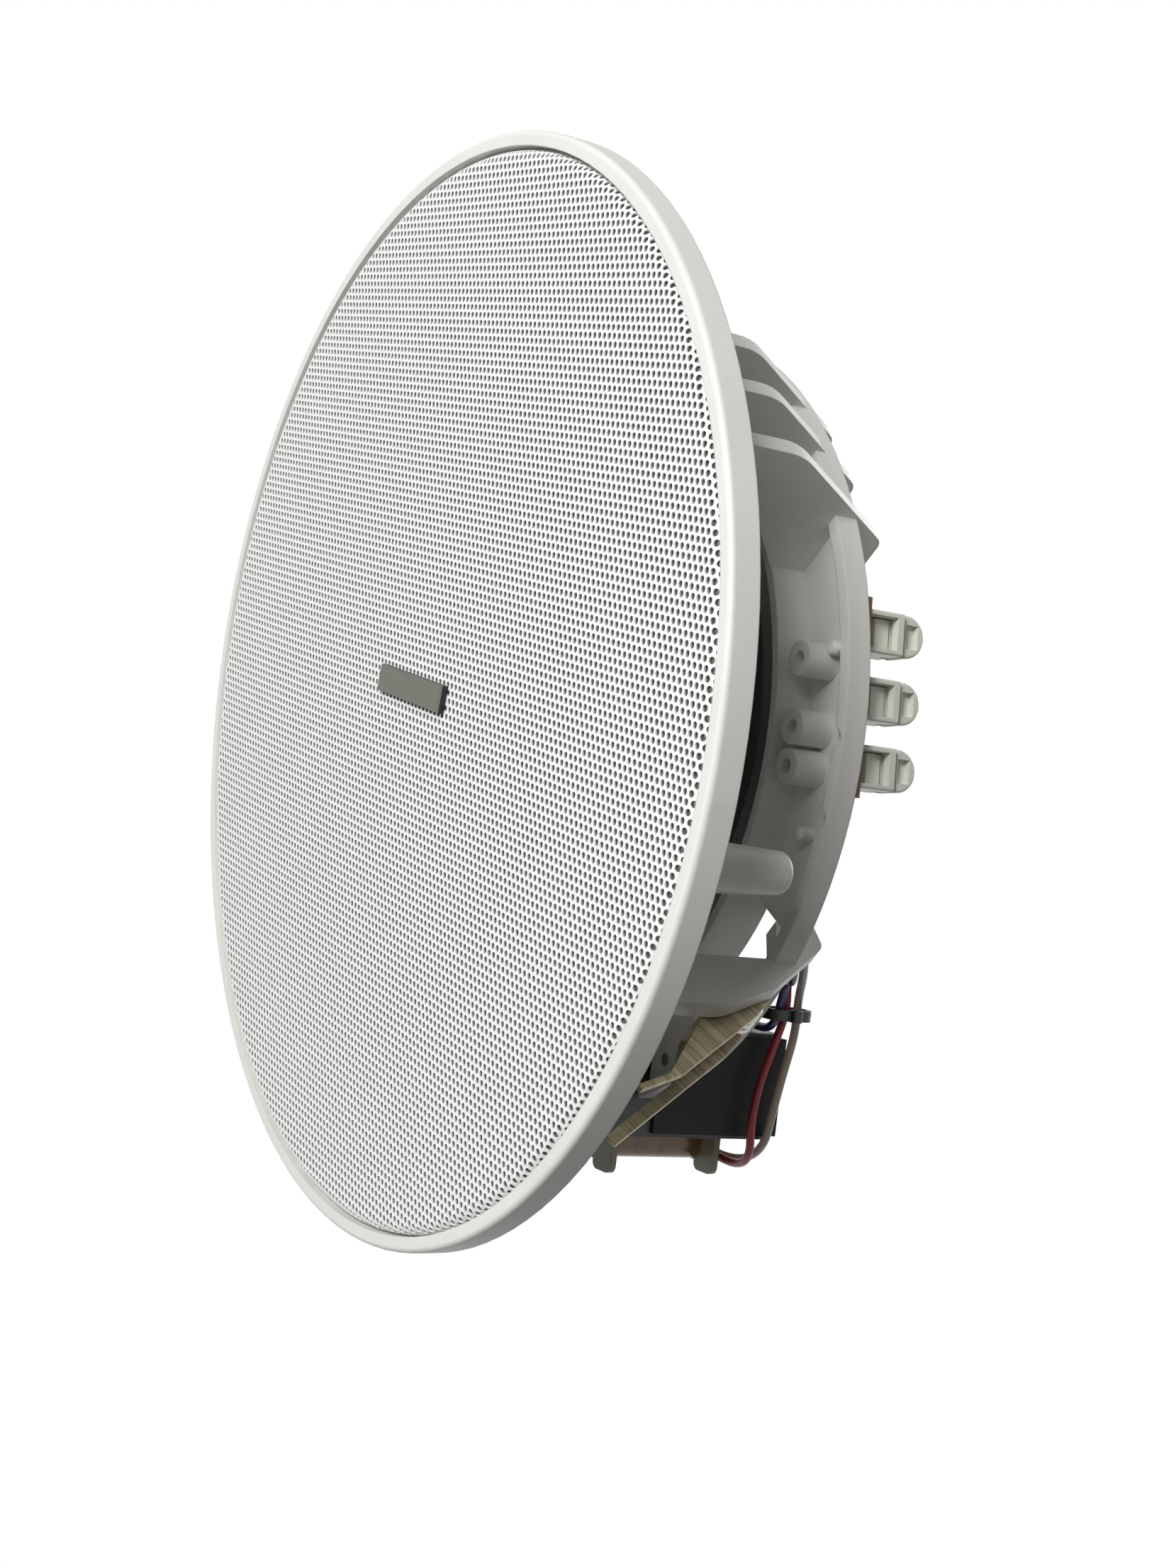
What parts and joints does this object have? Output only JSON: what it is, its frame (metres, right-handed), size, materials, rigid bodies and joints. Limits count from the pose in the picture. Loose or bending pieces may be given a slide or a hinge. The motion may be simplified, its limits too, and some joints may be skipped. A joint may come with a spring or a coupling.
{
  "type": "in-ceiling speaker",
  "caption": "Round in-ceiling loudspeaker: perforated grille in a white rim, finned frame, cone driver, push terminals, line transformer and sprung ceiling clips.",
  "frame": {"origin": "on the speaker's axis at the front of the badge, the lowest point of the part", "axes": "+Z along the axis, from the grille up into the ceiling void; +X along the badge"},
  "size_m": [0.25, 0.25, 0.0964],
  "materials": {
    "moulding_white": "satin white moulding",
    "grille_white": "white powder coat on perforated steel",
    "badge_metal": "satin pewter face",
    "terminal_ivory": "ivory nylon",
    "board_brown": "brown laminate",
    "contact_metal": "tinned brass strip",
    "zinc_yellow": "yellow zinc plate",
    "spring_steel": "spring wire",
    "screw_steel": "zinc plate",
    "strap_steel": "dark varnished steel",
    "core_steel": "varnished laminations",
    "bobbin_pale": "pale nylon",
    "tape_amber": "amber film tape",
    "wire_red": "red insulation",
    "wire_white": "cream insulation",
    "wire_blue": "dark blue insulation",
    "wire_black": "black insulation",
    "tie_black": "black nylon",
    "basket_black": "black paint on pressed steel",
    "paper_black": "pressed paper pulp",
    "foam_black": "black rubber",
    "spider_cloth": "corrugated varnished cloth",
    "ferrite": "sintered ferrite",
    "pole_steel": "zinc plated steel",
    "coil_copper": "enamelled copper",
    "former_film": "polyimide film"
  },
  "bodies": {
    "housing": {"bezel_frame": "moulding_white", "grille": "grille_white", "badge": "badge_metal", "terminal_board": "board_brown", "board_screws": "screw_steel", "transformer_core": "core_steel", "transformer_bobbin": "bobbin_pale", "transformer_winding": "tape_amber", "transformer_strap": "strap_steel", "transformer_screws": "screw_steel", "wire_red": "wire_red", "wire_white": "wire_white", "wire_blue": "wire_blue", "cable_tie": "tie_black", "driver_gasket": "foam_black", "basket": "basket_black", "top_plate": "pole_steel", "magnet": "ferrite", "back_plate": "pole_steel", "driver_screws": "screw_steel", "tag_board": "board_brown", "driver_lead_1": "wire_black", "driver_lead_2": "wire_black", "clip_pin_1": "screw_steel", "clip_pin_2": "screw_steel", "terminal_body_1": "terminal_ivory", "terminal_contact_1": "contact_metal", "terminal_body_2": "terminal_ivory", "terminal_contact_2": "contact_metal", "terminal_body_3": "terminal_ivory", "terminal_contact_3": "contact_metal"},
    "cone": {"cone": "paper_black", "dust_cap": "paper_black", "voice_coil_former": "former_film", "voice_coil_winding": "coil_copper", "surround": "foam_black", "spider": "spider_cloth"},
    "clip_1": {"clip_arm_1": "zinc_yellow", "clip_spring_1": "spring_steel"},
    "clip_2": {"clip_arm_2": "zinc_yellow", "clip_spring_2": "spring_steel"},
    "lever_1": {"terminal_lever_1": "terminal_ivory"},
    "lever_2": {"terminal_lever_2": "terminal_ivory"},
    "lever_3": {"terminal_lever_3": "terminal_ivory"}
  },
  "joints": [
    {"name": "clip_1_swing", "type": "hinge", "parent": "housing", "child": "clip_1", "pos_m": [0.07952, 0.05031, 0.0515], "axis": [0.5736, -0.8192, 0], "range_deg": [0, 120], "stiffness_Nm_per_rad": 0.12, "springref_deg": -40.11, "deforming": ["clip_spring_1"]},
    {"name": "clip_2_swing", "type": "hinge", "parent": "housing", "child": "clip_2", "pos_m": [-0.07952, -0.05031, 0.0515], "axis": [-0.5736, 0.8192, 0], "range_deg": [0, 120], "stiffness_Nm_per_rad": 0.12, "springref_deg": -40.11, "deforming": ["clip_spring_2"]},
    {"name": "lever_1_press", "type": "hinge", "parent": "housing", "child": "lever_1", "pos_m": [0.07781, -0.03214, 0.0696], "axis": [-0.2215, -0.9751, 0], "range_deg": [0, 10], "stiffness_Nm_per_rad": 0.08, "springref_deg": -8.59},
    {"name": "lever_2_press", "type": "hinge", "parent": "housing", "child": "lever_2", "pos_m": [0.08094, -0.01839, 0.0696], "axis": [-0.2215, -0.9751, 0], "range_deg": [0, 10], "stiffness_Nm_per_rad": 0.08, "springref_deg": -8.59},
    {"name": "lever_3_press", "type": "hinge", "parent": "housing", "child": "lever_3", "pos_m": [0.08406, -0.00464, 0.0696], "axis": [-0.2215, -0.9751, 0], "range_deg": [0, 10], "stiffness_Nm_per_rad": 0.08, "springref_deg": -8.59},
    {"name": "cone_travel", "type": "slide", "parent": "housing", "child": "cone", "axis": [0, 0, 1], "range_m": [-0.003, 0.003], "stiffness_N_per_m": 1500, "deforming": ["surround", "spider"]}
  ]
}
